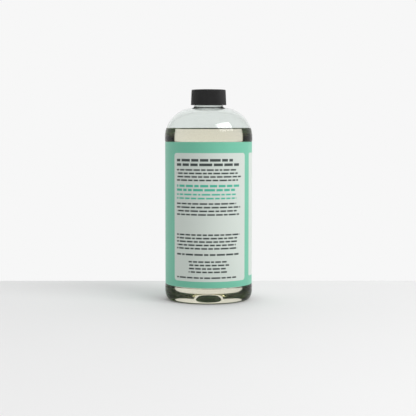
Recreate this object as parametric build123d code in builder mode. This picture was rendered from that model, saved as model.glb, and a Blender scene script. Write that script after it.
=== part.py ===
"""Filled detergent bottle: blown clear PET bottle, ribbed screw cap with its liner, wrap-round
label and the liquid inside.

Units are millimetres, +Z is up, and the origin is the centre of the face that the bottle stands on.
The front of the label faces -Y.
"""

from math import atan2, degrees, hypot, sqrt
import os

from build123d import *

# Bottle body
body_radius = 43.4
wall = 0.6
floor_thickness = 1.0
heel_width = 5.0
heel_height = 9.0
standing_ring_width = 3.0
push_up_radius = 18.2
push_up_rise = 0.5
push_up_height = 5.2
push_up_blend = 3.0
shoulder_start = 161.3
shoulder_radius = 29.0

# Neck
neck_radius = 14.4
neck_wall = 1.9
neck_height = 13.4
neck_blend = 2.0
bore_blend = 1.2
lip_round = 0.5

# Screw thread, one section on the neck and in the cap
thread_pitch = 4.233
thread_turns = 1.5
thread_height = 1.0
thread_root_width = 2.2
thread_crest_width = 1.0
thread_sink = 0.3
neck_thread_below_lip = 0.6
cap_thread_above_mouth = 1.2
thread_crest_gap = 0.3
thread_flank_gap = 0.4

# Label, and the shallow panel that it lies in
panel_depth = 0.35
panel_step = 0.7
panel_margin = 0.3
label_bottom = 16.1
label_below_shoulder = 4.6
label_thickness = 0.1
seam_angle = -30.0
seam_overlap = 3.8

# Liquid
fill_above_shoulder = 7.2

# Cap and liner
cap_mouth_gap = 0.7
cap_wall = 1.2
cap_draft = 0.65
cap_top_thickness = 1.3
cap_mouth_chamfer = 0.3
cap_edge_round = 0.5
rib_count = 96
rib_depth = 0.3
rib_groove_width = 0.8
rib_end_below_top = 0.8
liner_thickness = 1.0
liner_side_gap = 0.3

# Heights and radii that follow from the sizes above
shoulder_centre_radius = body_radius - shoulder_radius
blend_centre_radius = neck_radius + neck_blend
blend_offset = blend_centre_radius - shoulder_centre_radius
blend_rise = sqrt((shoulder_radius + neck_blend) ** 2 - blend_offset**2)
neck_base = shoulder_start + blend_rise
lip_height = neck_base + neck_height
bore_radius = neck_radius - neck_wall
panel_radius = body_radius - panel_depth
panel_bottom = label_bottom - panel_margin
label_top = shoulder_start - label_below_shoulder
panel_top = label_top + panel_margin
fill_level = shoulder_start + fill_above_shoulder
cap_ceiling = lip_height + liner_thickness
cap_top = cap_ceiling + cap_top_thickness
cap_mouth = neck_base + cap_mouth_gap
cap_height = cap_top - cap_mouth
cap_inner_radius = neck_radius + thread_height + thread_crest_gap
cap_top_radius = cap_inner_radius + cap_wall
cap_mouth_radius = cap_top_radius + cap_draft

# The cap's thread runs under the neck's, a flank gap away, and starts a set height above its mouth
thread_rise = thread_pitch * thread_turns
neck_thread_start = lip_height - neck_thread_below_lip - thread_root_width / 2 - thread_rise
flank_slope = (thread_root_width - thread_crest_width) / 2 / thread_height
widths_between_threads = thread_root_width - flank_slope * (cap_inner_radius - neck_radius)
thread_offset = widths_between_threads + thread_flank_gap
cap_thread_start = cap_mouth + cap_thread_above_mouth + thread_root_width / 2
cap_thread_angle = 360 * (cap_thread_start - neck_thread_start + thread_offset) / thread_pitch


def body_section(inset, floor_inset, top_radius, top):
    """Half section of the bottle, moved in by a wall: push-up, ring, heel, side, shoulder, neck.

    The outer surface meets the neck in a hollow blend. The inner one runs straight into the bore.
    """
    ring_outer = body_radius - heel_width
    ring_inner = ring_outer - standing_ring_width
    side = body_radius - inset
    panel = panel_radius - inset
    dome_drop = push_up_height - push_up_rise
    dome_radius = (push_up_radius**2 + dome_drop**2) / (2 * dome_drop)
    dome_half_angle = degrees(atan2(push_up_radius, dome_radius - dome_drop))
    shoulder_arc = shoulder_radius - inset
    outer_end = degrees(atan2(blend_rise, blend_offset))
    bore_offset = top_radius - shoulder_centre_radius
    inner_end = degrees(atan2(sqrt(shoulder_arc**2 - bore_offset**2), bore_offset))
    with BuildSketch(Plane.XZ) as section:
        with BuildLine():
            dome = CenterArc(
                (0, push_up_height - dome_radius), dome_radius + floor_inset, 90, -dome_half_angle
            )
            Polyline(dome @ 1, (ring_inner, floor_inset), (ring_outer, floor_inset))
            EllipticalCenterArc(
                (ring_outer, heel_height), heel_width - inset, heel_height - floor_inset, 270
            )
            Polyline(
                (side, heel_height),
                (side, panel_bottom - panel_step),
                (panel, panel_bottom),
                (panel, panel_top),
                (side, panel_top + panel_step),
                (side, shoulder_start),
            )
            shoulder_end = inner_end if inset else outer_end
            shoulder = CenterArc(
                (shoulder_centre_radius, shoulder_start), shoulder_arc, 0, shoulder_end
            )
            if inset:
                Line(shoulder @ 1, (top_radius, top))
            else:
                CenterArc((blend_centre_radius, neck_base), neck_blend, outer_end + 180, -outer_end)
                Line((top_radius, neck_base), (top_radius, top))
            Polyline((top_radius, top), (0, top), dome @ 0)
        make_face()
        dome_edge = section.vertices().sort_by_distance(dome @ 1)[0]
        fillet(dome_edge, push_up_blend)
        if inset:
            bore_corner = section.vertices().sort_by_distance(shoulder @ 1)[0]
            fillet(bore_corner, bore_blend)
    return section.sketch


def thread_ridge(root_radius, outward):
    """One thread from angle 0 and height 0: a trapezium swept up a helix, rooted in the wall.

    outward is 1 for a ridge that stands out of a neck and -1 for one inside a cap.
    """
    with BuildPart() as ridge:
        with BuildLine() as path:
            Helix(thread_pitch, thread_rise, root_radius)
        start = path.edge() @ 0
        with BuildSketch(Plane(origin=start, x_dir=(outward, 0, 0), z_dir=path.edge() % 0)):
            Polygon(
                (-thread_sink, -thread_root_width / 2),
                (0, -thread_root_width / 2),
                (thread_height, -thread_crest_width / 2),
                (thread_height, thread_crest_width / 2),
                (0, thread_root_width / 2),
                (-thread_sink, thread_root_width / 2),
                align=None,
            )
        sweep(path=path.edge(), is_frenet=True)
    return ridge.part


def rib_groove():
    """One grip groove: a triangle at the cap's mouth, drawn up along the drafted side."""
    depth_below_side = cap_mouth_radius - rib_depth
    rise = cap_height - rib_end_below_top
    lean = cap_draft * rise / cap_height
    with BuildPart() as groove:
        with BuildSketch(Plane.XY.offset(cap_mouth)):
            Polygon(
                (depth_below_side, 0),
                (cap_mouth_radius + rib_depth, -rib_groove_width),
                (cap_mouth_radius + rib_depth, rib_groove_width),
                align=None,
            )
        extrude(amount=hypot(rise, lean), dir=(-lean, 0, rise))
    return groove.part


neck_thread = thread_ridge(neck_radius, 1)
cap_thread = thread_ridge(cap_inner_radius, -1)
groove = rib_groove()
cavity = body_section(wall, floor_thickness, bore_radius, lip_height + neck_wall)

# Bottle: the outer form less the cavity, with a rounded lip and the thread on its neck
with BuildPart() as bottle:
    revolve(body_section(0, 0, neck_radius, lip_height), axis=Axis.Z)
    revolve(cavity, axis=Axis.Z, mode=Mode.SUBTRACT)
    fillet(bottle.edges().filter_by(GeomType.CIRCLE).group_by(Axis.Z)[-1], lip_round)
    with Locations((0, 0, neck_thread_start)):
        add(neck_thread)

# Detergent: the cavity up to the fill level
with BuildPart() as detergent:
    revolve(cavity, axis=Axis.Z)
    split(bisect_by=Plane.XY.offset(fill_level), keep=Keep.BOTTOM)

# Label: one turn of film in the panel, with its end lapped over its start
lap = degrees(seam_overlap / panel_radius)
lap_radius = panel_radius + 2 * label_thickness
with BuildPart() as label:
    with BuildSketch(Plane.XY.offset(label_bottom)):
        Circle(panel_radius + label_thickness)
        with BuildLine():
            under = CenterArc((0, 0), panel_radius, seam_angle, lap)
            over = CenterArc((0, 0), lap_radius, seam_angle, lap)
            Line(under @ 0, over @ 0)
            Line(under @ 1, over @ 1)
        make_face()
        Circle(panel_radius, mode=Mode.SUBTRACT)
    extrude(amount=label_top - label_bottom)

# Cap: a drafted cup with a chamfered mouth, grip grooves round it and the thread inside
with BuildPart() as cap:
    with BuildSketch(Plane.XZ) as cap_section:
        with BuildLine():
            Polyline(
                (cap_inner_radius, cap_ceiling),
                (cap_inner_radius, cap_mouth + cap_mouth_chamfer),
                (cap_inner_radius + cap_mouth_chamfer, cap_mouth),
                (cap_mouth_radius, cap_mouth),
                (cap_top_radius, cap_top),
                (0, cap_top),
                (0, cap_ceiling),
                close=True,
            )
        make_face()
        rim = cap_section.vertices().sort_by_distance((cap_top_radius, cap_top))[0]
        fillet(rim, cap_edge_round)
    revolve(axis=Axis.Z)
    with PolarLocations(0, rib_count):
        add(groove, mode=Mode.SUBTRACT)
    with Locations(Location((0, 0, cap_thread_start), (0, 0, cap_thread_angle))):
        add(cap_thread)

# Liner: a foam disc between the cap's ceiling and the lip
with BuildPart() as cap_liner:
    with BuildSketch(Plane.XY.offset(lip_height)):
        Circle(cap_inner_radius - liner_side_gap)
    extrude(amount=liner_thickness)

bottle.part.label = "bottle"
detergent.part.label = "detergent"
label.part.label = "label"
cap.part.label = "cap"
cap_liner.part.label = "cap_liner"

os.makedirs("parts", exist_ok=True)
export_step(bottle.part, "parts/bottle.step")
export_step(detergent.part, "parts/detergent.step")
export_step(label.part, "parts/label.step")
export_step(cap.part, "parts/cap.step")
export_step(cap_liner.part, "parts/cap_liner.step")

fill_volume = detergent.part.volume / 1000
print(f"neck base {neck_base:.2f}, lip {lip_height:.2f}, cap {cap_mouth:.2f} to {cap_top:.2f} mm")
print(f"liquid {fill_volume:.0f} ml, cap radius {cap_mouth_radius:.2f} mm")
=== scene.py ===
"""Filled detergent bottle: the looks of its pieces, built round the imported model.

Everything is in metres in the model's own frame, +Z up, with the label's front towards -Y.
Sizes written in millimetres are multiplied by MM.
"""

import math

import bpy
import numpy as np
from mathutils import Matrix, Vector


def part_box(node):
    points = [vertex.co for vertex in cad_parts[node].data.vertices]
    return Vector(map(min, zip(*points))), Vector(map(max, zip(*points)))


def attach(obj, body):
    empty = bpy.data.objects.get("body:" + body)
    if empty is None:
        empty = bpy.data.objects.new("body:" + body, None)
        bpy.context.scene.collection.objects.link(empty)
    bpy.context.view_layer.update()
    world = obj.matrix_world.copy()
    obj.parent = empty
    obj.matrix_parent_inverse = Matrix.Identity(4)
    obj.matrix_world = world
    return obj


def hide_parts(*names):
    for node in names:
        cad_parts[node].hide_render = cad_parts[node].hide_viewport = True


bl_info = {
    "name": "Filled Bottle Looks",
    "version": (1, 0, 0),
    "blender": (4, 5, 0),
    "location": "3D View > Sidebar > Bottle",
    "description": "Builds the finished surfaces of a filled screw-cap bottle and its studio",
    "category": "Object",
}

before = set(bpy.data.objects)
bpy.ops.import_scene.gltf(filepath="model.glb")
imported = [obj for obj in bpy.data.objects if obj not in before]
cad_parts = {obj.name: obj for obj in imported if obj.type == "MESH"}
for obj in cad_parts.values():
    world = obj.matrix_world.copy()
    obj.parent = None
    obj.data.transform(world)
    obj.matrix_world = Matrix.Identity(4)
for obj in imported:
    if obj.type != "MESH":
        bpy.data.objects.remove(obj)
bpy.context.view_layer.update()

MM = 0.001
TURN = 2 * math.pi

# Faces round a piece, and round one grip rib
SHELL_COLUMNS = 168
LIQUID_COLUMNS = 192
RIB_COLUMNS = 6

# Moves the word gaps of each row of print away from those of the row above
ROW_SHIFT = 37.7


def linear(code):
    """Linear colour, with alpha 1, from an sRGB hex code."""
    shades = np.array([int(code[i : i + 2], 16) for i in (1, 3, 5)]) / 255
    curve = np.where(shades <= 0.04045, shades / 12.92, ((shades + 0.055) / 1.055) ** 2.4)
    return (*curve.tolist(), 1.0)


def half_width(node):
    """Smallest half width of an upright round CAD node, so that a new surface stays inside its facets."""
    low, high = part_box(node)
    return min(-low.x, high.x, -low.y, high.y)


def length(name, description, default):
    """A size that a user can change, in metres."""
    return bpy.props.FloatProperty(
        name=name, description=description, default=default, min=0, unit="LENGTH", precision=5
    )


def colour(name, description, code):
    """A colour that a user can change, from an sRGB hex code."""
    return bpy.props.FloatVectorProperty(
        name=name, description=description, default=linear(code), size=4, min=0, max=1, subtype="COLOR"
    )


# Heights and radii read from the frame
BODY_RADIUS = half_width("bottle")
LIP_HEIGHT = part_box("bottle")[1].z
FILL_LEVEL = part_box("detergent")[1].z
LABEL_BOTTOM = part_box("label")[0].z
LABEL_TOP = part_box("label")[1].z
CAP_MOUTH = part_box("cap")[0].z
CAP_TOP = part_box("cap")[1].z
CAP_RADIUS = half_width("cap")


class BottleSizes(bpy.types.PropertyGroup):
    """Sizes and colour of the blown bottle."""

    wall: length("Wall", "Thickness of the blown wall", 0.6 * MM)
    floor: length("Floor", "Thickness of the push-up and the standing ring", 1.0 * MM)
    heel_width: length("Heel width", "Distance from the side in to the standing ring", 5.0 * MM)
    heel_height: length("Heel height", "Height over which the heel curves in", 9.0 * MM)
    ring_width: length("Standing ring", "Width of the flat ring that the bottle stands on", 3.0 * MM)
    push_up_radius: length("Push-up radius", "Radius of the dome under the bottle", 18.2 * MM)
    push_up_height: length("Push-up height", "Height of the dome under the bottle", 5.2 * MM)
    push_up_rise: length("Push-up rise", "Height of the dome's edge above the ring", 0.5 * MM)
    shoulder_radius: length("Shoulder radius", "Radius of the domed shoulder's curve", 29.0 * MM)
    shoulder_start: length("Shoulder start", "Height at which the side turns in", 161.3 * MM)
    neck_radius: length("Neck radius", "Outer radius of the neck under its thread", 14.4 * MM)
    neck_wall: length("Neck wall", "Thickness of the neck's wall", 1.9 * MM)
    neck_blend: length("Neck blend", "Radius of the hollow between shoulder and neck", 2.0 * MM)
    lip_round: length("Lip round", "Radius of the lip's two edges", 0.5 * MM)
    panel_depth: length("Panel depth", "Depth of the shallow panel under the label", 0.35 * MM)
    panel_step: length("Panel step", "Height of the ramp at each end of the panel", 0.7 * MM)
    panel_margin: length("Panel margin", "Gap between the label's edge and the ramp", 0.3 * MM)
    tint: colour("PET tint", "Colour of the clear PET", "#f4f8f6")


class ThreadSizes(bpy.types.PropertyGroup):
    """Sizes of the screw thread on the neck and in the cap."""

    pitch: length("Pitch", "Rise in one turn", 4.233 * MM)
    turns: bpy.props.FloatProperty(name="Turns", description="Turns of thread", default=1.5, min=0)
    height: length("Height", "How far the thread stands out", 1.0 * MM)
    root_width: length("Root width", "Width of the thread at its root", 2.2 * MM)
    crest_width: length("Crest width", "Width of the thread at its crest", 1.0 * MM)
    below_lip: length("Below lip", "Gap between the lip and the top of the neck's thread", 0.6 * MM)
    above_mouth: length("Above mouth", "Gap between the cap's mouth and its thread", 1.2 * MM)
    crest_gap: length("Crest gap", "Clearance between a crest and the facing wall", 0.3 * MM)
    flank_gap: length("Flank gap", "Clearance between the two threads", 0.4 * MM)


class LiquidSizes(bpy.types.PropertyGroup):
    """Sizes and colour of the liquid."""

    meniscus_rise: length("Meniscus rise", "How far the liquid climbs the wall", 1.6 * MM)
    meniscus_reach: length("Meniscus reach", "Distance in which the climb fades", 1.7 * MM)
    skin: length("Skin", "Gap between the liquid's outline and the bottle's outer face", 0.02 * MM)
    tint: colour("Liquid tint", "Colour that the liquid's absorption gives", "#f5f1d1")


class LabelSizes(bpy.types.PropertyGroup):
    """Sizes and colours of the label."""

    thickness: length("Thickness", "Thickness of the film", 0.1 * MM)
    bond: length("Bond", "How far the film's back reaches into the bottle's face", 0.05 * MM)
    overlap: length("Overlap", "Length of film lapped at the seam", 3.8 * MM)
    seam_angle: bpy.props.FloatProperty(
        name="Seam angle",
        description="Angle of the seam to the right of the label's front",
        default=math.radians(60),
        subtype="ANGLE",
    )
    mint: colour("Mint", "Colour of the label's ground", "#72c2a6")
    panel: colour("Panel", "Colour of the text panels", "#d3dcd5")
    ink: colour("Ink", "Colour of the dark print", "#3d4744")
    accent: colour("Accent", "Colour of the bright print", "#49b79c")


class CapSizes(bpy.types.PropertyGroup):
    """Sizes and colour of the screw cap."""

    draft: length("Draft", "How much wider the cap is at its mouth than at its top", 0.65 * MM)
    top: length("Top", "Thickness of the cap's top", 1.3 * MM)
    mouth_chamfer: length("Mouth chamfer", "Chamfer inside the mouth", 0.3 * MM)
    edge_round: length("Edge round", "Radius of the top's edge", 0.5 * MM)
    ribs: bpy.props.IntProperty(name="Ribs", description="Grip grooves round the cap", default=96, min=3)
    rib_depth: length("Rib depth", "Depth of a grip groove", 0.3 * MM)
    rib_width: length("Rib width", "Width of a grip groove", 0.8 * MM)
    rib_end: length("Rib end", "Smooth band between the grooves and the top", 0.8 * MM)
    black: colour("Black", "Colour of the cap", "#0e0e0f")


class StageSizes(bpy.types.PropertyGroup):
    """Sizes and colours of the studio."""

    floor_size: length("Floor size", "Side of the square floor", 12.0)
    wall_distance: length("Wall distance", "How far behind the bottle's axis the wall stands", 127 * MM)
    floor_shade: colour("Floor", "Colour of the floor", "#e6e6e6")
    white: colour("White", "Colour of the wall and of the surroundings", "#f7f7f7")
    grey: colour("Grey", "Colour of the room in front of the bottle", "#a8a8a8")
    lamp_power: bpy.props.FloatProperty(
        name="Lamp power", description="Power of the main soft box", default=16, min=0, unit="POWER"
    )


class BottleSettings(bpy.types.PropertyGroup):
    """Every size and colour of the bottle and its studio."""

    bottle: bpy.props.PointerProperty(type=BottleSizes)
    thread: bpy.props.PointerProperty(type=ThreadSizes)
    liquid: bpy.props.PointerProperty(type=LiquidSizes)
    label: bpy.props.PointerProperty(type=LabelSizes)
    cap: bpy.props.PointerProperty(type=CapSizes)
    stage: bpy.props.PointerProperty(type=StageSizes)


# Outlines: each is an array of (radius, height) rows


def arc(centre, radii, start, end, count):
    """Points of an ellipse's arc: centre + radii * (cos, sin), with the angle going evenly in degrees."""
    angle = np.radians(np.linspace(start, end, count))
    return np.column_stack([centre[0] + radii[0] * np.cos(angle), centre[1] + radii[1] * np.sin(angle)])


def run(start, end, count):
    """Evenly spaced points of a straight line."""
    return np.linspace(start, end, count)


def ramp(x, start, end):
    """0 before start, 1 after end, and 3t^2 - 2t^3 between them."""
    t = np.clip((x - start) / (end - start), 0, 1)
    return t * t * (3 - 2 * t)


def bend(start, corner, end, count):
    """Quadratic Bezier curve from start to end, drawn towards corner."""
    t = np.linspace(0, 1, count)[:, None]
    return (1 - t) ** 2 * np.array(start) + 2 * t * (1 - t) * np.array(corner) + t**2 * np.array(end)


def join(*stretches):
    """One outline from several stretches, without the points that they share."""
    points = np.vstack(stretches)
    step = np.linalg.norm(np.diff(points, axis=0), axis=1)
    return points[np.concatenate([[True], step > 1e-7])]


def underside(sizes, lift):
    """The bottle's underside from its centre to the heel, raised by lift.

    The height at a radius is the smooth maximum of a dome and a shallow cone that ends at the ring.
    """
    ring_outer = BODY_RADIUS - sizes.heel_width
    ring_inner = ring_outer - sizes.ring_width
    drop = sizes.push_up_height - sizes.push_up_rise
    dome_radius = (sizes.push_up_radius**2 + drop**2) / (2 * drop)
    radius = np.concatenate([np.linspace(0, ring_inner, 60), np.linspace(ring_inner, ring_outer, 6)[1:]])
    inside = np.clip(dome_radius**2 - radius**2, 0, None)
    dome = sizes.push_up_height - dome_radius + np.sqrt(inside)
    slope = sizes.push_up_rise / (ring_inner - sizes.push_up_radius)
    cone = np.clip(slope * (ring_inner - radius), 0, None)
    softness = 0.5 * MM
    overlap = np.clip(1 - np.abs(dome - cone) / softness, 0, None)
    height = np.maximum(dome, cone) + overlap**2 * softness / 4
    return np.column_stack([radius, height + lift])


def side(sizes, inset):
    """The bottle's side from heel to shoulder: straight, but set in by a shallow panel with ramped ends."""
    low_end = LABEL_BOTTOM - sizes.panel_margin
    high_end = LABEL_TOP + sizes.panel_margin
    height = np.concatenate(
        [
            np.linspace(sizes.heel_height, low_end - sizes.panel_step, 8),
            np.linspace(low_end - sizes.panel_step, low_end, 7),
            np.linspace(low_end, high_end, 30),
            np.linspace(high_end, high_end + sizes.panel_step, 7),
            np.linspace(high_end + sizes.panel_step, sizes.shoulder_start, 6),
        ]
    )
    depth = ramp(height, low_end - sizes.panel_step, low_end)
    depth *= 1 - ramp(height, high_end, high_end + sizes.panel_step)
    return np.column_stack([BODY_RADIUS - inset - sizes.panel_depth * depth, height])


def body_outline(sizes, inset, lift):
    """The bottle's outline from the centre of its underside up to the end of the shoulder's arc."""
    heel_centre = (BODY_RADIUS - sizes.heel_width, sizes.heel_height)
    heel_radii = (sizes.heel_width - inset, sizes.heel_height - lift)
    shoulder_centre = (BODY_RADIUS - sizes.shoulder_radius, sizes.shoulder_start)
    shoulder_radii = (sizes.shoulder_radius - inset,) * 2
    across = sizes.neck_radius + sizes.neck_blend - shoulder_centre[0]
    if inset:
        last = 90
    else:
        last = math.degrees(math.acos(across / (sizes.shoulder_radius + sizes.neck_blend)))
    return join(
        underside(sizes, lift),
        arc(heel_centre, heel_radii, 270, 360, 26),
        side(sizes, inset),
        arc(shoulder_centre, shoulder_radii, 0, last, 80),
    )


def neck_base(sizes):
    """Height at which the hollow between shoulder and neck ends."""
    across = sizes.neck_radius + sizes.neck_blend - (BODY_RADIUS - sizes.shoulder_radius)
    rise = math.sqrt((sizes.shoulder_radius + sizes.neck_blend) ** 2 - across**2)
    return sizes.shoulder_start + rise


# Surfaces: grids of points and the faces between them


def turn(outline, columns):
    """Surface of revolution: (radius, height) and an angle a give (r cos a, r sin a, z)."""
    angle = np.arange(columns) * TURN / columns
    radius = outline[:, 0:1] if outline.ndim == 2 else outline[..., 0]
    height = outline[:, 1:2] if outline.ndim == 2 else outline[..., 1]
    height = np.broadcast_to(height, (len(outline), columns))
    return np.stack([radius * np.cos(angle), radius * np.sin(angle), height], axis=-1)


def round_mesh(name, points, first_pole, last_pole):
    """Closed mesh of a grid that runs round the Z axis, shut at each end by a fan to its pole."""
    rows, columns = points.shape[:2]
    corner = np.arange(rows - 1)[:, None] * columns
    near = np.arange(columns)
    far = (near + 1) % columns
    above = corner + columns
    quads = np.stack([corner + near, corner + far, above + far, above + near], axis=-1)
    first, last = rows * columns, rows * columns + 1
    top_row = (rows - 1) * columns
    fans = np.concatenate(
        [
            np.column_stack([np.full(columns, first), far, near]),
            np.column_stack([np.full(columns, last), top_row + near, top_row + far]),
        ]
    )
    vertices = np.concatenate([points.reshape(-1, 3), [(0, 0, first_pole), (0, 0, last_pole)]])
    return finished(name, vertices, quads.reshape(-1, 4).tolist() + fans.tolist())


def finished(name, vertices, faces):
    """Object of a mesh, shaded smooth but for its sharp edges, and linked to the scene."""
    mesh = bpy.data.meshes.new(name)
    mesh.from_pydata(vertices.tolist(), [], faces)
    mesh.shade_smooth()
    mesh.set_sharp_from_angle(angle=math.radians(38))
    mesh.update()
    piece = bpy.data.objects.new(name, mesh)
    bpy.context.scene.collection.objects.link(piece)
    return piece


def face_centres(mesh):
    """Centres of a mesh's faces, one row each."""
    centres = np.empty(len(mesh.polygons) * 3)
    mesh.polygons.foreach_get("center", centres)
    return centres.reshape(-1, 3)


def thread_ridge(sizes, angle, height, start):
    """How far a thread stands out at an angle and a height, from 0 to 1.

    The ridge is a trapezium across a helix. Its height is the clipped distance to its flank, the nearer turn
    wins, and both ends sink away over a sixth of a turn.
    """
    ridge = np.zeros(np.broadcast(angle, height).shape)
    flank = (sizes.root_width - sizes.crest_width) / 2
    for whole_turn in range(-1, math.ceil(sizes.turns) + 1):
        along = angle / TURN + whole_turn
        off_centre = np.abs(height - start - sizes.pitch * along)
        section = np.clip((sizes.root_width / 2 - off_centre) / flank, 0, 1)
        ends = ramp(along, 0, 1 / 6) * (1 - ramp(along, sizes.turns - 1 / 6, sizes.turns))
        ridge = np.maximum(ridge, section * ends)
    return ridge


def neck_thread_start(thread):
    """Height of the neck's thread where it begins, worked down from the lip."""
    return LIP_HEIGHT - thread.below_lip - thread.root_width / 2 - thread.pitch * thread.turns


# Materials


def add(tree, kind, links=None, **settings):
    """Adds a node. settings are its properties; links give its inputs a value or the socket that feeds them."""
    node = tree.nodes.new(kind)
    for key, value in settings.items():
        setattr(node, key, value)
    for key, source in (links or {}).items():
        if isinstance(source, bpy.types.NodeSocket):
            tree.links.new(source, node.inputs[key])
        else:
            node.inputs[key].default_value = source
    return node


def new_material(name):
    """An empty node material and its output node."""
    material = bpy.data.materials.new(name)
    material.use_nodes = True
    material.node_tree.nodes.clear()
    return material.node_tree, add(material.node_tree, "ShaderNodeOutputMaterial"), material


def clear_pet(sizes):
    """Blown PET, stretched in a polished mould: clear as glass, with the faintest flow lines up its wall."""
    tree, output, material = new_material("clear_pet")
    place = add(tree, "ShaderNodeTexCoord").outputs["Object"]
    stretched = add(tree, "ShaderNodeMapping", {"Vector": place, "Scale": (1, 1, 0.15)}).outputs[0]
    flow = add(tree, "ShaderNodeTexNoise", {"Vector": stretched, "Scale": 1 / (9 * MM), "Detail": 2})
    relief = {"Height": flow.outputs[0], "Strength": 0.25, "Distance": 0.05 * MM}
    bump = add(tree, "ShaderNodeBump", relief)
    rough = add(tree, "ShaderNodeMapRange", {"Value": flow.outputs[0], "To Min": 0.0, "To Max": 0.02})
    shader = add(
        tree,
        "ShaderNodeBsdfPrincipled",
        {
            "Base Color": sizes.tint,
            "Roughness": rough.outputs[0],
            "IOR": 1.575,
            "Transmission Weight": 1.0,
            "Normal": bump.outputs[0],
        },
    )
    tree.links.new(shader.outputs[0], output.inputs["Surface"])
    return material


def wetted_pet():
    """The same PET where liquid backs it: only its outer gloss shows, because the liquid bends the light."""
    tree, output, material = new_material("wetted_pet")
    place = add(tree, "ShaderNodeTexCoord").outputs["Object"]
    haze = add(tree, "ShaderNodeTexNoise", {"Vector": place, "Scale": 1 / (12 * MM), "Detail": 2})
    rough = add(tree, "ShaderNodeMapRange", {"Value": haze.outputs[0], "To Min": 0.02, "To Max": 0.06})
    mirrored = add(tree, "ShaderNodeFresnel", {"IOR": 1.28})
    clear = add(tree, "ShaderNodeBsdfTransparent")
    gloss = add(tree, "ShaderNodeBsdfGlossy", {"Roughness": rough.outputs[0]})
    shares = {0: mirrored.outputs[0], 1: clear.outputs[0], 2: gloss.outputs[0]}
    shader = add(tree, "ShaderNodeMixShader", shares)
    tree.links.new(shader.outputs[0], output.inputs["Surface"])
    return material


def wetted_inside():
    """The PET's inner face under the liquid, which nothing shows of: the two bend light nearly alike."""
    tree, output, material = new_material("wetted_inside")
    clear = add(tree, "ShaderNodeBsdfTransparent")
    tree.links.new(clear.outputs[0], output.inputs["Surface"])
    return material


def detergent_liquid(sizes):
    """Water with surfactants: clear, a little denser to light than water, pale yellow-green in depth."""
    tree, output, material = new_material("detergent_liquid")
    shader = add(
        tree, "ShaderNodeBsdfPrincipled", {"Roughness": 0.0, "IOR": 1.37, "Transmission Weight": 1.0}
    )
    depth = add(tree, "ShaderNodeVolumeAbsorption", {"Color": sizes.tint, "Density": 10.0})
    tree.links.new(shader.outputs[0], output.inputs["Surface"])
    tree.links.new(depth.outputs[0], output.inputs["Volume"])
    return material


def black_polypropylene(sizes):
    """Moulded polypropylene with a fine satin grain, which spreads its reflections."""
    tree, output, material = new_material("black_polypropylene")
    place = add(tree, "ShaderNodeTexCoord").outputs["Object"]
    grain = add(tree, "ShaderNodeTexNoise", {"Vector": place, "Scale": 1 / (0.25 * MM), "Detail": 3})
    cloud = add(tree, "ShaderNodeTexNoise", {"Vector": place, "Scale": 1 / (6 * MM), "Detail": 2})
    rough = add(tree, "ShaderNodeMapRange", {"Value": cloud.outputs[0], "To Min": 0.36, "To Max": 0.5})
    bump = add(tree, "ShaderNodeBump", {"Height": grain.outputs[0], "Strength": 0.3, "Distance": 0.03 * MM})
    shade = add(
        tree,
        "ShaderNodeMix",
        {0: cloud.outputs[0], "A": sizes.black, "B": (*[c * 1.6 for c in sizes.black[:3]], 1.0)},
        data_type="RGBA",
    )
    shader = add(
        tree,
        "ShaderNodeBsdfPrincipled",
        {
            "Base Color": shade.outputs["Result"],
            "Roughness": rough.outputs[0],
            "IOR": 1.49,
            "Normal": bump.outputs[0],
        },
    )
    tree.links.new(shader.outputs[0], output.inputs["Surface"])
    return material


def liner_foam():
    """Foamed polyethylene: matt white, with its cells just showing in the face. The cells are the foam's own,
    but their tone is darkest at each cell's centre, where the bump sinks a hollow: painted shade in the cells'
    hollows.
    """
    tree, output, material = new_material("liner_foam")
    place = add(tree, "ShaderNodeTexCoord").outputs["Object"]
    cells = add(tree, "ShaderNodeTexVoronoi", {"Vector": place, "Scale": 1 / (0.5 * MM)})
    # The cells' distance sets both the tone and the bump. Each cell's centre is sunk into a hollow and painted
    # darkest, so the hollows carry painted shade.
    shades = {"Value": cells.outputs["Distance"], "To Min": 0.72, "To Max": 0.86}
    tone = add(tree, "ShaderNodeMapRange", shades)
    shade = add(
        tree,
        "ShaderNodeCombineColor",
        {"Red": tone.outputs[0], "Green": tone.outputs[0], "Blue": tone.outputs[0]},
    )
    bump = add(
        tree, "ShaderNodeBump", {"Height": cells.outputs["Distance"], "Strength": 0.4, "Distance": 0.08 * MM}
    )
    shader = add(
        tree,
        "ShaderNodeBsdfPrincipled",
        {"Base Color": shade.outputs[0], "Roughness": 0.85, "IOR": 1.5, "Normal": bump.outputs[0]},
    )
    tree.links.new(shader.outputs[0], output.inputs["Surface"])
    return material


# Label print: masks over the film's own map, whose unit is a millimetre, 0 at the middle of the front


def field(tree, place, left, right, low, high, corner):
    """1 inside a round-cornered rectangle: a smaller rectangle is nearer than the corner's radius."""
    centre = ((left + right) / 2, (low + high) / 2, 0)
    reach = ((right - left) / 2 - corner, (high - low) / 2 - corner, 1)
    moved = add(tree, "ShaderNodeVectorMath", {0: place, 1: centre}, operation="SUBTRACT").outputs[0]
    folded = add(tree, "ShaderNodeVectorMath", {0: moved}, operation="ABSOLUTE").outputs[0]
    past = add(tree, "ShaderNodeVectorMath", {0: folded, 1: reach}, operation="SUBTRACT").outputs[0]
    outside = add(tree, "ShaderNodeVectorMath", {0: past, 1: (0, 0, 0)}, operation="MAXIMUM").outputs[0]
    gap = add(tree, "ShaderNodeVectorMath", {0: outside}, operation="LENGTH").outputs["Value"]
    return add(tree, "ShaderNodeMath", {0: gap, 1: corner}, operation="LESS_THAN").outputs[0]


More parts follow.
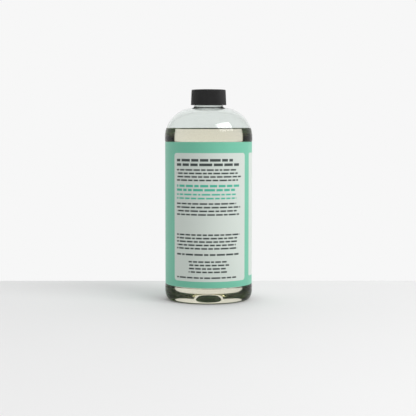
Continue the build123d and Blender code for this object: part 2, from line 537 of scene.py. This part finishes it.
def word_bars(tree, across, up, block):
    """Rows of word-like bars, ragged at the right, broken where the edges between random cells lie."""
    below = add(tree, "ShaderNodeMath", {0: block["top"], 1: up}, operation="SUBTRACT").outputs[0]
    down = add(tree, "ShaderNodeMath", {0: below, 1: block["pitch"]}, operation="DIVIDE").outputs[0]
    row = add(tree, "ShaderNodeMath", {0: down}, operation="FLOOR").outputs[0]
    share = add(tree, "ShaderNodeMath", {0: down}, operation="FRACT").outputs[0]
    seed = add(tree, "ShaderNodeMath", {0: row, 1: block["top"]}, operation="ADD").outputs[0]
    ragged = add(tree, "ShaderNodeTexWhiteNoise", {"W": seed}, noise_dimensions="1D").outputs["Value"]
    end = add(
        tree,
        "ShaderNodeMath",
        {0: ragged, 1: -block["ragged"], 2: block["right"]},
        operation="MULTIPLY_ADD",
    ).outputs[0]
    along = add(tree, "ShaderNodeMath", {0: across, 1: block["word"]}, operation="DIVIDE").outputs[0]
    shifted = add(
        tree, "ShaderNodeMath", {0: seed, 1: ROW_SHIFT, 2: along}, operation="MULTIPLY_ADD"
    ).outputs[0]
    words = add(
        tree,
        "ShaderNodeTexVoronoi",
        {"W": shifted},
        voronoi_dimensions="1D",
        feature="DISTANCE_TO_EDGE",
    )
    words.inputs["Scale"].default_value = 1.0
    shown = words.outputs["Distance"]
    half_gap = block["gap"] / block["word"] / 2
    shown = add(tree, "ShaderNodeMath", {0: shown, 1: half_gap}, operation="GREATER_THAN").outputs[0]
    limits = (
        (share, "LESS_THAN", block["height"] / block["pitch"]),
        (row, "GREATER_THAN", -0.5),
        (row, "LESS_THAN", block["rows"] - 0.5),
        (across, "GREATER_THAN", block["left"]),
        (across, "LESS_THAN", end),
    )
    for value, test, limit in limits:
        within = add(tree, "ShaderNodeMath", {0: value, 1: limit}, operation=test).outputs[0]
        shown = add(tree, "ShaderNodeMath", {0: shown, 1: within}, operation="MULTIPLY").outputs[0]
    return shown


def label_print(sizes, top, bottom):
    """Satin polypropylene film, printed: mint ground, two pale panels and bars in place of text."""
    tree, output, material = new_material("label_film")
    place = add(tree, "ShaderNodeUVMap", uv_map="print").outputs[0]
    split = add(tree, "ShaderNodeSeparateXYZ", {0: place})
    across, up = split.outputs[0], split.outputs[1]
    shown = add(tree, "ShaderNodeRGB").outputs[0]
    shown.default_value = sizes.mint

    def paint(under, mask, over):
        return add(
            tree, "ShaderNodeMix", {0: mask, "A": under, "B": over}, data_type="RGBA", clamp_factor=True
        ).outputs["Result"]

    ground = add(tree, "ShaderNodeTexNoise", {"Vector": place, "Scale": 0.02, "Detail": 1}).outputs[0]
    tone = add(tree, "ShaderNodeMapRange", {"Value": ground, "To Min": 0.96, "To Max": 1.03}).outputs[0]
    front = field(tree, place, -37.6, 40.8, bottom + 6.1, top - 10.6, 3.0)
    beside = field(tree, place, -222.0, -150.0, bottom + 9.0, top - 10.6, 3.0)
    for panel in (front, beside):
        shown = paint(shown, panel, sizes.panel)
    for block in text_blocks(top):
        shown = paint(shown, word_bars(tree, across, up, block), getattr(sizes, block["colour"]))
    toned = add(
        tree, "ShaderNodeVectorMath", {0: shown, "Scale": tone}, operation="SCALE"
    ).outputs[0]
    grain = add(tree, "ShaderNodeTexNoise", {"Vector": place, "Scale": 0.25, "Detail": 3}).outputs[0]
    bump = add(tree, "ShaderNodeBump", {"Height": grain, "Strength": 0.15, "Distance": 0.05 * MM})
    rough = add(tree, "ShaderNodeMapRange", {"Value": grain, "To Min": 0.34, "To Max": 0.46}).outputs[0]
    shader = add(
        tree,
        "ShaderNodeBsdfPrincipled",
        {"Base Color": toned, "Roughness": rough, "IOR": 1.46, "Normal": bump.outputs[0]},
    )
    tree.links.new(shader.outputs[0], output.inputs["Surface"])
    return material


def text_blocks(top):
    """The blocks of text-like rows, downwards from the label's top: sizes in millimetres on the film."""
    rows = [
        # down, rows, pitch, height, left, right, ragged, word, gap, colour
        (16.2, 2, 4.3, 2.5, -34, 38, 14, 11.0, 1.5, "ink"),
        (26.0, 4, 3.3, 1.5, -34, 36, 8, 6.5, 1.1, "ink"),
        (41.0, 2, 3.9, 2.2, -34, 34, 12, 8.0, 1.4, "accent"),
        (49.6, 2, 3.7, 1.5, -34, 32, 10, 6.5, 1.2, "accent"),
        (58.5, 4, 3.5, 1.5, -34, 36, 8, 7.5, 1.1, "ink"),
        (88.5, 5, 3.3, 1.5, -34, 36, 8, 6.5, 1.1, "ink"),
        (107.5, 1, 3.5, 1.7, -34, 34, 6, 7.5, 1.2, "ink"),
        (114.5, 4, 3.3, 1.5, -20, 22, 8, 6.0, 1.1, "ink"),
        (130.0, 1, 3.3, 1.5, -34, 30, 4, 7.0, 1.1, "ink"),
    ]
    names = ("rows", "pitch", "height", "left", "right", "ragged", "word", "gap", "colour")
    return [dict(zip(names, row[1:]), top=top - row[0]) for row in rows]


def label_back():
    """The unprinted back of the film, seen through the liquid: the mint ink shows through it."""
    tree, output, material = new_material("label_back")
    place = add(tree, "ShaderNodeTexCoord").outputs["Object"]
    cloud = add(tree, "ShaderNodeTexNoise", {"Vector": place, "Scale": 1 / (15 * MM), "Detail": 2}).outputs[0]
    shade = add(
        tree,
        "ShaderNodeMix",
        {0: cloud, "A": linear("#a9c6b0"), "B": linear("#b4cbb5")},
        data_type="RGBA",
    ).outputs["Result"]
    shader = add(tree, "ShaderNodeBsdfPrincipled", {"Base Color": shade, "Roughness": 0.5, "IOR": 1.46})
    tree.links.new(shader.outputs[0], output.inputs["Surface"])
    return material


# Operators, one for each piece


class BOTTLE_OT_shell(bpy.types.Operator):
    """Build the blown bottle with its push-up, panel, shoulder and threaded neck"""

    bl_idname = "filled_bottle.shell"
    bl_label = "Bottle Shell"

    def execute(self, context):
        settings = context.scene.filled_bottle
        sizes, thread = settings.bottle, settings.thread
        base = neck_base(sizes)
        outer = body_outline(sizes, 0, 0)
        blend_centre = (sizes.neck_radius + sizes.neck_blend, base)
        last = math.degrees(
            math.acos(
                (blend_centre[0] - BODY_RADIUS + sizes.shoulder_radius)
                / (sizes.shoulder_radius + sizes.neck_blend)
            )
        )
        edge = sizes.lip_round
        bore = sizes.neck_radius - sizes.neck_wall
        neck = join(
            arc(blend_centre, (sizes.neck_blend,) * 2, last + 180, 180, 14),
            run((sizes.neck_radius, base), (sizes.neck_radius, LIP_HEIGHT - edge), 100),
            arc((sizes.neck_radius - edge, LIP_HEIGHT - edge), (edge, edge), 0, 90, 7),
            arc((bore + edge, LIP_HEIGHT - edge), (edge, edge), 90, 180, 7),
        )
        inner = body_outline(sizes, sizes.wall, sizes.floor)[::-1]
        mouth = bend(
            (bore, inner[0, 1] + 1.3 * MM), (bore, inner[0, 1]), tuple(inner[0]), 8
        )
        outline = join(outer, neck, mouth, inner)
        columns = SHELL_COLUMNS
        angle = np.arange(columns) * TURN / columns
        radius = np.repeat(outline[:, :1], columns, axis=1)
        height = np.repeat(outline[:, 1:], columns, axis=1)
        on_neck = np.abs(outline[:, 0] - sizes.neck_radius) < 1e-6
        ridge = thread_ridge(thread, angle[None, :], height, neck_thread_start(thread))
        radius = radius + thread.height * ridge * on_neck[:, None]
        points = turn(np.stack([radius, height], axis=-1), columns)
        piece = round_mesh("bottle_shell", points[1:-1], outline[0, 1], outline[-1, 1])
        wet_top = FILL_LEVEL + settings.liquid.meniscus_rise
        centres = face_centres(piece.data)
        # Faces follow the outline row by row. The last two rows are the fans at the outer and inner poles
        row = np.arange(len(centres)) // columns
        outside = row < len(outer) - 1
        outside[-2 * columns : -columns] = True
        outside[-columns:] = False
        slot = np.where(centres[:, 2] > wet_top, 0, np.where(outside, 1, 2))
        for material in (clear_pet(sizes), wetted_pet(), wetted_inside()):
            piece.data.materials.append(material)
        piece.data.polygons.foreach_set("material_index", slot.astype(np.int32))
        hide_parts("bottle")
        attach(piece, "pack")
        return {"FINISHED"}


class BOTTLE_OT_liquid(bpy.types.Operator):
    """Build the liquid, whose top climbs a little where it meets the wall"""

    bl_idname = "filled_bottle.liquid"
    bl_label = "Liquid Fill"

    def execute(self, context):
        settings = context.scene.filled_bottle
        sizes, liquid = settings.bottle, settings.liquid
        outer = body_outline(sizes, liquid.skin, liquid.skin)
        wet_top = FILL_LEVEL + liquid.meniscus_rise
        below = outer[outer[:, 1] < wet_top]
        inner = body_outline(sizes, sizes.wall, sizes.floor)
        edge_out = np.interp(wet_top, outer[-79:, 1], outer[-79:, 0])
        edge_in = np.interp(wet_top, inner[-79:, 1], inner[-79:, 0])
        inward = np.concatenate([np.linspace(0, 6, 30), np.geomspace(6.5, 40, 14)]) * MM
        radius = edge_in - inward
        height = FILL_LEVEL + liquid.meniscus_rise * np.exp(-inward / liquid.meniscus_reach)
        surface = np.column_stack([radius, height])[radius > 1 * MM]
        outline = join(below, run((edge_out, wet_top), (edge_in, wet_top), 4), surface)
        points = turn(outline, LIQUID_COLUMNS)
        piece = round_mesh("liquid_fill", points[1:], outline[0, 1], outline[-1, 1])
        piece.data.materials.append(detergent_liquid(liquid))
        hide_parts("detergent")
        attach(piece, "pack")
        return {"FINISHED"}


class BOTTLE_OT_label(bpy.types.Operator):
    """Build the label film, wrapped round its panel with its end lapped over its start"""

    bl_idname = "filled_bottle.label"
    bl_label = "Label Film"

    def execute(self, context):
        settings = context.scene.filled_bottle
        sizes, label = settings.bottle, settings.label
        inner_radius = BODY_RADIUS - sizes.panel_depth
        lap = label.overlap / inner_radius
        # Angles from the label's front, from the strip's start under the lap to its end over it
        angle = np.linspace(label.seam_angle - TURN, label.seam_angle + lap, 361)
        rise = label.thickness * ramp(angle, label.seam_angle - 0.01, label.seam_angle + 0.01)
        outer_radius = inner_radius + label.thickness + rise
        back_radius = inner_radius - label.bond + rise * (1 + label.bond / label.thickness)
        height = np.linspace(LABEL_BOTTOM, LABEL_TOP, 41)
        section_height = np.concatenate([height, height[::-1]])
        is_outer = np.concatenate([np.ones(41, bool), np.zeros(41, bool)])
        radius = np.where(is_outer[:, None], outer_radius, back_radius)
        points = np.stack(
            [
                radius * np.sin(angle),
                -radius * np.cos(angle),
                np.broadcast_to(section_height[:, None], radius.shape),
            ],
            axis=-1,
        )
        rows, columns = radius.shape
        near_row = np.arange(rows)[:, None]
        far_row = (near_row + 1) % rows
        column = np.arange(columns - 1)
        quads = np.stack(
            [
                near_row * columns + column,
                near_row * columns + column + 1,
                far_row * columns + column + 1,
                far_row * columns + column,
            ],
            axis=-1,
        ).reshape(-1, 4)
        up = np.arange(40)
        ends = []
        for edge, flip in ((0, 1), (columns - 1, -1)):
            corners = np.column_stack([up, up + 1, rows - 2 - up, rows - 1 - up]) * columns + edge
            ends.append(corners[:, ::flip])
        piece = finished("label_film", points.reshape(-1, 3), quads.tolist() + np.vstack(ends).tolist())
        self.map_print(piece.data, points, angle, inner_radius)
        piece.data.materials.append(label_print(label, LABEL_TOP / MM, LABEL_BOTTOM / MM))
        piece.data.materials.append(label_back())
        slot = np.zeros(len(piece.data.polygons), np.int32)
        slot[41 * (columns - 1) : 81 * (columns - 1)] = 1
        piece.data.polygons.foreach_set("material_index", slot)
        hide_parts("label")
        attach(piece, "pack")
        return {"FINISHED"}

    def map_print(self, mesh, points, angle, radius):
        """Lays the film flat as a UV map in millimetres: length round the bottle, and height."""
        across = np.broadcast_to(angle * radius / MM, points.shape[:2]).reshape(-1)
        up = points[..., 2].reshape(-1) / MM
        corner = np.empty(len(mesh.loops), np.int32)
        mesh.loops.foreach_get("vertex_index", corner)
        layer = mesh.uv_layers.new(name="print")
        layer.data.foreach_set("uv", np.column_stack([across[corner], up[corner]]).ravel())


class BOTTLE_OT_cap(bpy.types.Operator):
    """Build the ribbed screw cap with its inner thread"""

    bl_idname = "filled_bottle.cap"
    bl_label = "Cap Shell"

    def execute(self, context):
        settings = context.scene.filled_bottle
        cap, thread, bottle = settings.cap, settings.thread, settings.bottle
        mouth_radius = CAP_RADIUS
        top_radius = mouth_radius - cap.draft
        bore = bottle.neck_radius + thread.height + thread.crest_gap
        edge, chamfer = cap.edge_round, cap.mouth_chamfer
        ceiling = CAP_TOP - cap.top
        outline = join(
            run((0, CAP_TOP), (top_radius - edge, CAP_TOP), 12),
            arc((top_radius - edge, CAP_TOP - edge), (edge, edge), 90, 0, 7),
            run((top_radius, CAP_TOP - edge), (mouth_radius, CAP_MOUTH), 40),
            run((mouth_radius, CAP_MOUTH), (bore + chamfer, CAP_MOUTH), 3),
            run((bore + chamfer, CAP_MOUTH), (bore, CAP_MOUTH + chamfer), 2),
            run((bore, CAP_MOUTH + chamfer), (bore, ceiling), 56),
            run((bore, ceiling), (0, ceiling), 6),
        )
        columns = cap.ribs * RIB_COLUMNS
        angle = np.arange(columns) * TURN / columns
        radius = np.repeat(outline[:, :1], columns, axis=1)
        height = np.repeat(outline[:, 1:], columns, axis=1)
        outside = (np.arange(len(outline)) > 17) & (np.arange(len(outline)) < 59)
        across_rib = np.abs((angle * cap.ribs / TURN + 0.5) % 1 - 0.5) * TURN / cap.ribs * mouth_radius
        groove = np.clip(1 - across_rib / (cap.rib_width / 2), 0, 1)
        fade = 1 - ramp(outline[:, 1], CAP_TOP - cap.rib_end - 0.4 * MM, CAP_TOP - cap.rib_end)
        radius = radius - cap.rib_depth * (fade * outside)[:, None] * groove
        # The cap's thread starts where it lies a flank gap under the neck's
        slope = (thread.root_width - thread.crest_width) / 2 / thread.height
        apart = thread.root_width - slope * (bore - bottle.neck_radius) + thread.flank_gap
        start = CAP_MOUTH + thread.above_mouth + thread.root_width / 2
        first_angle = TURN * (start - neck_thread_start(thread) + apart) / thread.pitch
        ridge = thread_ridge(thread, (angle[None, :] - first_angle) % TURN, height, start)
        on_bore = np.abs(outline[:, 0] - bore) < 1e-6
        radius = radius - thread.height * ridge * on_bore[:, None]
        points = turn(np.stack([radius, height], axis=-1), columns)
        piece = round_mesh("cap_shell", points[1:-1], CAP_TOP, ceiling)
        piece.data.flip_normals()
        piece.data.materials.append(black_polypropylene(cap))
        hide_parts("cap")
        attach(piece, "closure")
        return {"FINISHED"}


class BOTTLE_OT_liner(bpy.types.Operator):
    """Give the cap's liner its foam"""

    bl_idname = "filled_bottle.liner"
    bl_label = "Cap Liner"

    def execute(self, context):
        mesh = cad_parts["cap_liner"].data
        mesh.materials.clear()
        mesh.materials.append(liner_foam())
        return {"FINISHED"}


class BOTTLE_OT_stage(bpy.types.Operator):
    """Build the pale floor, the white wall, the soft light and the camera"""

    bl_idname = "filled_bottle.stage"
    bl_label = "Studio Stage"

    def execute(self, context):
        sizes = context.scene.filled_bottle.stage
        self.build_floor(sizes)
        self.build_wall(sizes)
        self.build_world(context.scene, sizes)
        self.build_lamps(sizes)
        self.build_camera(context.scene)
        context.scene.view_settings.view_transform = "Standard"
        context.scene.cycles.max_bounces = 24
        context.scene.cycles.transmission_bounces = 20
        context.scene.cycles.transparent_max_bounces = 32
        context.scene.cycles.diffuse_bounces = 6
        context.scene.cycles.glossy_bounces = 8
        return {"FINISHED"}

    def build_floor(self, sizes):
        """A level square, a hair under the bottle, in matt off-white."""
        half = sizes.floor_size / 2
        corners = np.array([(-half, -half, 0), (half, -half, 0), (half, half, 0), (-half, half, 0)])
        corners[:, 2] -= 0.02 * MM
        floor = finished("floor", corners, [(0, 1, 2, 3)])
        tree, output, material = new_material("floor_paint")
        place = add(tree, "ShaderNodeTexCoord").outputs["Object"]
        mottle = add(tree, "ShaderNodeTexNoise", {"Vector": place, "Scale": 6.0, "Detail": 2}).outputs[0]
        tones = {"Value": mottle, "To Min": 0.992, "To Max": 1.008}
        tone = add(tree, "ShaderNodeMapRange", tones).outputs[0]
        scaled = {0: sizes.floor_shade[:3], "Scale": tone}
        shade = add(tree, "ShaderNodeVectorMath", scaled, operation="SCALE").outputs[0]
        shader = add(tree, "ShaderNodeBsdfPrincipled", {"Base Color": shade, "Roughness": 0.8})
        tree.links.new(shader.outputs[0], output.inputs["Surface"])
        floor.data.materials.append(material)

    def build_wall(self, sizes):
        """An upright square that is plain white from the front and isn't there from behind or for lamps."""
        half = sizes.floor_size / 2
        depth = sizes.wall_distance
        corners = np.array([(-half, depth, 0), (half, depth, 0), (half, depth, half), (-half, depth, half)])
        wall = finished("wall", corners, [(0, 1, 2, 3)])
        tree, output, material = new_material("wall_white")
        back = add(tree, "ShaderNodeNewGeometry").outputs["Backfacing"]
        clear = add(tree, "ShaderNodeBsdfTransparent").outputs[0]
        glow = add(tree, "ShaderNodeEmission", {"Color": sizes.white, "Strength": 1.0}).outputs[0]
        shader = add(tree, "ShaderNodeMixShader", {0: back, 1: glow, 2: clear})
        tree.links.new(shader.outputs[0], output.inputs["Surface"])
        wall.data.materials.append(material)
        wall.visible_diffuse = False
        wall.visible_shadow = False

    def build_world(self, scene, sizes):
        """White for the camera and through glass; other rays find white behind the bottle, grey in front."""
        world = bpy.data.worlds.new("studio")
        world.use_nodes = True
        scene.world = world
        tree = world.node_tree
        tree.nodes.clear()
        output = add(tree, "ShaderNodeOutputWorld")
        direction = add(tree, "ShaderNodeTexCoord").outputs["Generated"]
        behind = add(tree, "ShaderNodeSeparateXYZ", {0: direction}).outputs["Y"]
        share = add(tree, "ShaderNodeMapRange", {"Value": behind, "From Min": -0.7, "From Max": 0.3})
        room = add(
            tree,
            "ShaderNodeMix",
            {0: share.outputs[0], "A": sizes.grey, "B": sizes.white},
            data_type="RGBA",
        ).outputs["Result"]
        light = add(tree, "ShaderNodeLightPath")
        rays = {0: light.outputs["Is Camera Ray"], 1: light.outputs["Is Transmission Ray"]}
        seen = add(tree, "ShaderNodeMath", rays, operation="MAXIMUM").outputs[0]
        shade = add(
            tree, "ShaderNodeMix", {0: seen, "A": room, "B": sizes.white}, data_type="RGBA"
        ).outputs["Result"]
        background = add(tree, "ShaderNodeBackground", {"Color": shade, "Strength": 1.0})
        tree.links.new(background.outputs[0], output.inputs["Surface"])

    def build_lamps(self, sizes):
        """One large soft box high in front, to the right."""
        lamp = bpy.data.lights.new("soft_box", "AREA")
        lamp.shape = "RECTANGLE"
        lamp.size = 1.2
        lamp.size_y = 1.0
        lamp.energy = sizes.lamp_power
        holder = bpy.data.objects.new("soft_box", lamp)
        holder.location = (1.1, -0.9, 1.2)
        aim = Vector((0, 0, 0.1)) - holder.location
        holder.rotation_euler = aim.to_track_quat("-Z", "Y").to_euler()
        bpy.context.scene.collection.objects.link(holder)

    def build_camera(self, scene):
        """A long lens at shoulder height, about a metre in front, tilted a little down."""
        camera = bpy.data.cameras.new("camera")
        camera.lens = 94.33
        camera.sensor_width = 36
        holder = bpy.data.objects.new("camera", camera)
        holder.location = (-0.0006, -1.0845, 0.1663)
        tilt = math.radians(3.99)
        holder.rotation_euler = (math.pi / 2 - tilt, 0, 0)
        scene.collection.objects.link(holder)
        scene.camera = holder


class BOTTLE_PT_builder(bpy.types.Panel):
    """Lists the pieces in the order in which they are built"""

    bl_label = "Filled Bottle"
    bl_idname = "BOTTLE_PT_builder"
    bl_space_type = "VIEW_3D"
    bl_region_type = "UI"
    bl_category = "Bottle"

    def draw(self, context):
        for operator in OPERATORS:
            self.layout.operator(operator.bl_idname)


OPERATORS = (
    BOTTLE_OT_shell,
    BOTTLE_OT_liquid,
    BOTTLE_OT_label,
    BOTTLE_OT_cap,
    BOTTLE_OT_liner,
    BOTTLE_OT_stage,
)
GROUPS = (BottleSizes, ThreadSizes, LiquidSizes, LabelSizes, CapSizes, StageSizes, BottleSettings)


def register():
    for owner in (*GROUPS, *OPERATORS, BOTTLE_PT_builder):
        bpy.utils.register_class(owner)
    bpy.types.Scene.filled_bottle = bpy.props.PointerProperty(type=BottleSettings)


def unregister():
    del bpy.types.Scene.filled_bottle
    for owner in reversed((*GROUPS, *OPERATORS, BOTTLE_PT_builder)):
        bpy.utils.unregister_class(owner)


def main():
    """Builds every piece and the stage."""
    register()
    bpy.ops.filled_bottle.shell()
    bpy.ops.filled_bottle.liquid()
    bpy.ops.filled_bottle.label()
    bpy.ops.filled_bottle.cap()
    bpy.ops.filled_bottle.liner()
    bpy.ops.filled_bottle.stage()


if __name__ == "__main__":
    main()
